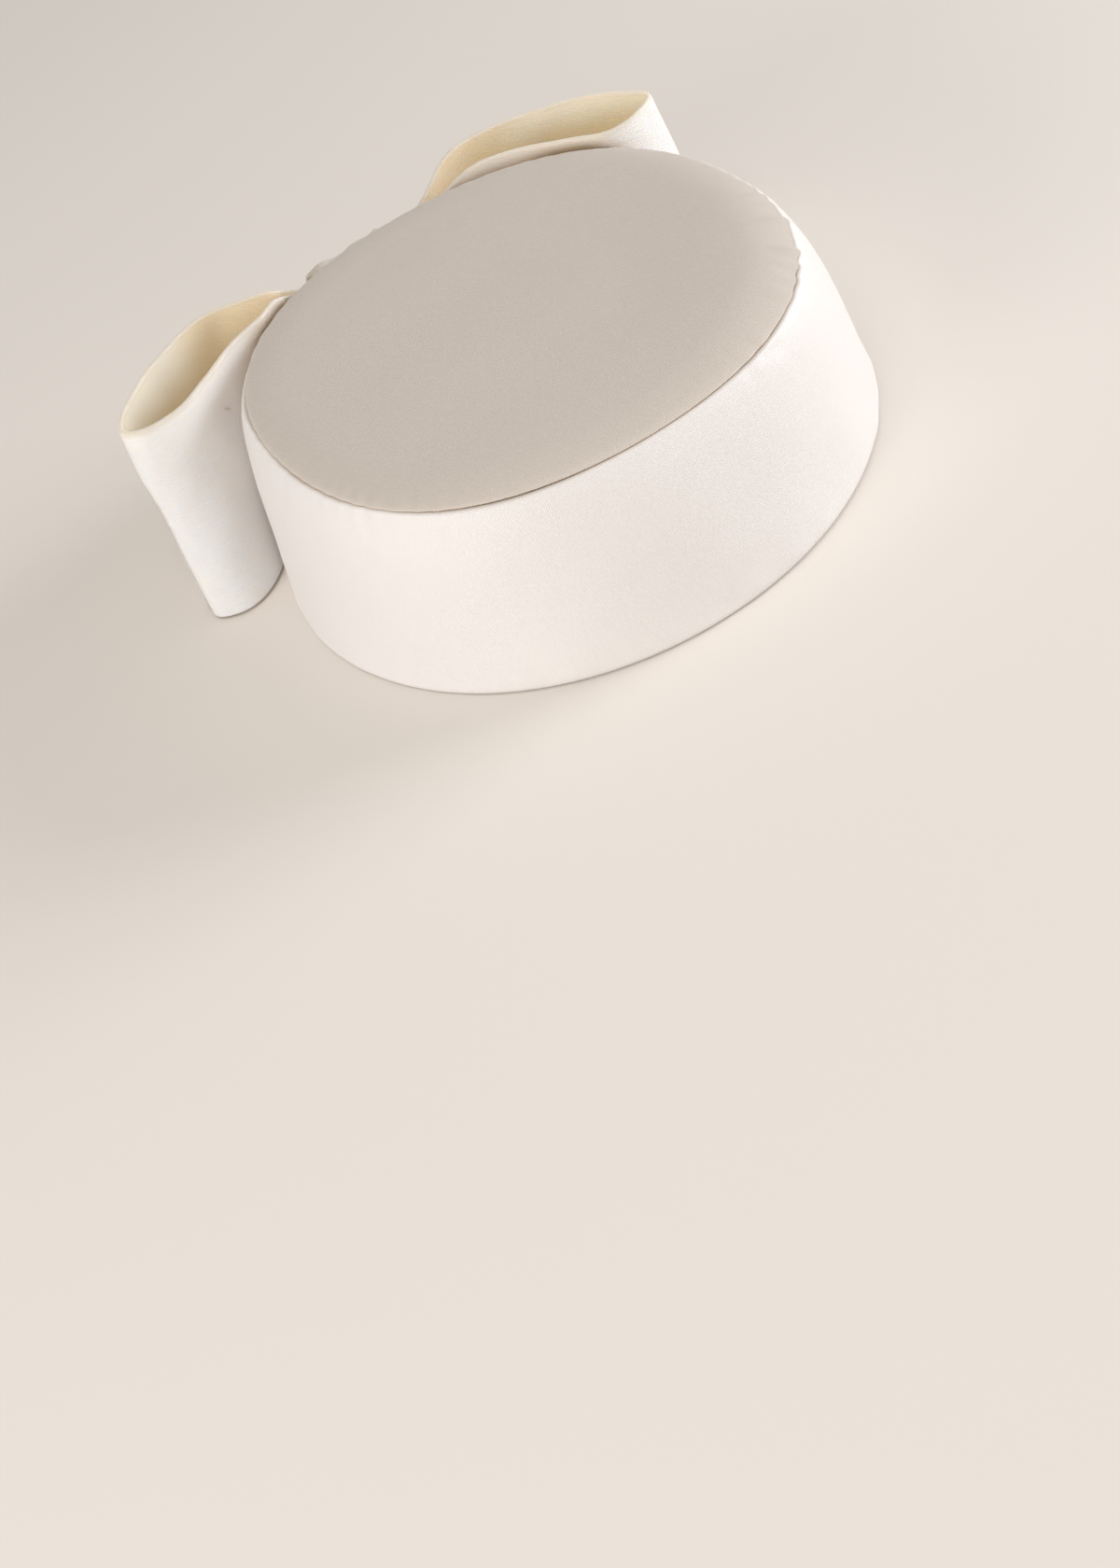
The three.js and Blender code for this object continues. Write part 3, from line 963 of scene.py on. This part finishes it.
class HAT_OT_band(bpy.types.Operator):
    """Builds the padded side band with its turned-under rim"""

    bl_idname = "hat.band"
    bl_label = "Side band"

    def execute(self, context):
        colour = tuple(context.scene.hat_crown.band_colour)
        piece = build_band()
        back = tuple(c * 0.92 for c in colour)
        material = satin("Band satin", colour, back, 0.055, 0.18)
        place_in_frame(piece, "side_band", material)
        return {"FINISHED"}


class HAT_OT_loops(bpy.types.Operator):
    """Builds the two loops of the bow"""

    bl_idname = "hat.loops"
    bl_label = "Bow loops"

    def execute(self, context):
        bow = context.scene.hat_bow
        material = ribbon_satin(bow)
        loops = (
            {"name": "ribbon_loop_left", "node": "bow_loop_left", "plan": LEFT_PLAN,
             "lean": (-7.5 * MM, -18 * MM), "outward": 1, "gather_end": 34 * MM,
             "pleats": 3.5, "seed": 41, "tacked": True},
            {"name": "ribbon_loop_right", "node": "bow_loop_right", "plan": RIGHT_PLAN,
             "lean": (2 * MM, -6 * MM), "outward": -1, "gather_end": 46 * MM,
             "pleats": 3.0, "seed": 51, "tacked": False},
        )
        for loop in loops:
            piece, length = build_loop(loop)
            place_in_frame(piece, loop["node"], material)
        return {"FINISHED"}


class HAT_OT_knot(bpy.types.Operator):
    """Builds the strap of satin that gathers the bow"""

    bl_idname = "hat.knot"
    bl_label = "Knot"

    def execute(self, context):
        bow = context.scene.hat_bow
        material = ribbon_satin(bow)
        piece, length = build_knot()
        place_in_frame(piece, "bow_knot", material)
        return {"FINISHED"}


class HAT_OT_tack(bpy.types.Operator):
    """Sews the small tack that draws in the left loop"""

    bl_idname = "hat.tack"
    bl_label = "Tack stitch"

    def execute(self, context):
        piece = build_tack(bpy.data.objects["ribbon_loop_left"])
        place_in_frame(piece, None, silk_thread())
        return {"FINISHED"}


class HAT_OT_stage(bpy.types.Operator):
    """Sets the floor, the lights and the camera"""

    bl_idname = "hat.stage"
    bl_label = "Stage"

    def execute(self, context):
        build_floor()
        build_lights()
        build_camera()
        return {"FINISHED"}


def build_floor():
    """A pale matt floor under the rim."""
    drop_selection()
    bpy.ops.mesh.primitive_plane_add(size=FLOOR_SIZE, location=(0, 0, 0))
    floor = bpy.context.object
    floor.name = "floor"
    material = bpy.data.materials.new("Pale floor")
    material.use_nodes = True
    shader = material.node_tree.nodes["Principled BSDF"]
    shader.inputs["Base Color"].default_value = (*bpy.context.scene.hat_stage.floor_colour, 1)
    shader.inputs["Roughness"].default_value = 0.9
    shader.inputs["Specular IOR Level"].default_value = 0.1
    floor.data.materials.append(material)
    drop_selection()


def add_light(name, place, size, power, colour):
    """A round soft lamp that shines on the hat."""
    data = bpy.data.lights.new(name, "AREA")
    data.shape = "DISK"
    data.size = size
    data.energy = power
    data.color = colour
    light = bpy.data.objects.new(name, data)
    bpy.context.scene.collection.objects.link(light)
    light.location = place
    light.rotation_euler = (Vector(LIGHT_AIM) - Vector(place)).to_track_quat("-Z", "Y").to_euler()


def build_lights():
    """The even light from all round, and the lamps."""
    stage = bpy.context.scene.hat_stage
    world = bpy.data.worlds.new("Studio")
    world.use_nodes = True
    sky = world.node_tree.nodes["Background"]
    sky.inputs["Color"].default_value = FILL_COLOUR
    sky.inputs["Strength"].default_value = stage.fill_strength
    bpy.context.scene.world = world
    for name, (place, size, colour) in LIGHTS.items():
        add_light(name, place, size, getattr(stage, name + "_power"), colour)


def build_camera():
    """The camera, turned about its own axis after it is aimed."""
    data = bpy.data.cameras.new("camera")
    data.sensor_width = CAMERA_SENSOR
    data.lens = CAMERA_LENS
    camera = bpy.data.objects.new("camera", data)
    bpy.context.scene.collection.objects.link(camera)
    angles = (CAMERA_AZIMUTH, CAMERA_ELEVATION, CAMERA_ROLL)
    azimuth, elevation, roll = (math.radians(angle) for angle in angles)
    back = Vector((
        math.sin(azimuth) * math.cos(elevation),
        -math.cos(azimuth) * math.cos(elevation),
        math.sin(elevation),
    ))
    turn = (-back).to_track_quat("-Z", "Y").to_matrix() @ Matrix.Rotation(roll, 3, "Z")
    place = Vector(CAMERA_AIM) + back * bpy.context.scene.hat_stage.distance
    camera.matrix_world = Matrix.Translation(place) @ turn.to_4x4()
    bpy.context.scene.camera = camera
    bpy.context.scene.view_settings.view_transform = "Standard"


class HAT_PT_panel(bpy.types.Panel):
    """Buttons that build the hat"""

    bl_idname = "HAT_PT_panel"
    bl_label = "Satin pillbox hat"
    bl_space_type = "VIEW_3D"
    bl_region_type = "UI"
    bl_category = "Hat"

    def draw(self, context):
        for name in STEPS:
            self.layout.operator("hat." + name)


STEPS = ("tip", "band", "loops", "knot", "tack", "stage")
CLASSES = (
    HatCrownSettings, HatBowSettings, HatStageSettings,
    HAT_OT_tip, HAT_OT_band, HAT_OT_loops, HAT_OT_knot, HAT_OT_tack, HAT_OT_stage, HAT_PT_panel,
)


def register():
    """Adds the settings, the operators and the panel to Blender."""
    for item in CLASSES:
        bpy.utils.register_class(item)
    bpy.types.Scene.hat_crown = bpy.props.PointerProperty(type=HatCrownSettings)
    bpy.types.Scene.hat_bow = bpy.props.PointerProperty(type=HatBowSettings)
    bpy.types.Scene.hat_stage = bpy.props.PointerProperty(type=HatStageSettings)


def unregister():
    """Takes them away again."""
    del bpy.types.Scene.hat_stage
    del bpy.types.Scene.hat_bow
    del bpy.types.Scene.hat_crown
    for item in reversed(CLASSES):
        bpy.utils.unregister_class(item)


def main():
    """Builds the whole hat."""
    register()
    for name in STEPS:
        getattr(bpy.ops.hat, name)()


if __name__ == "__main__":
    main()
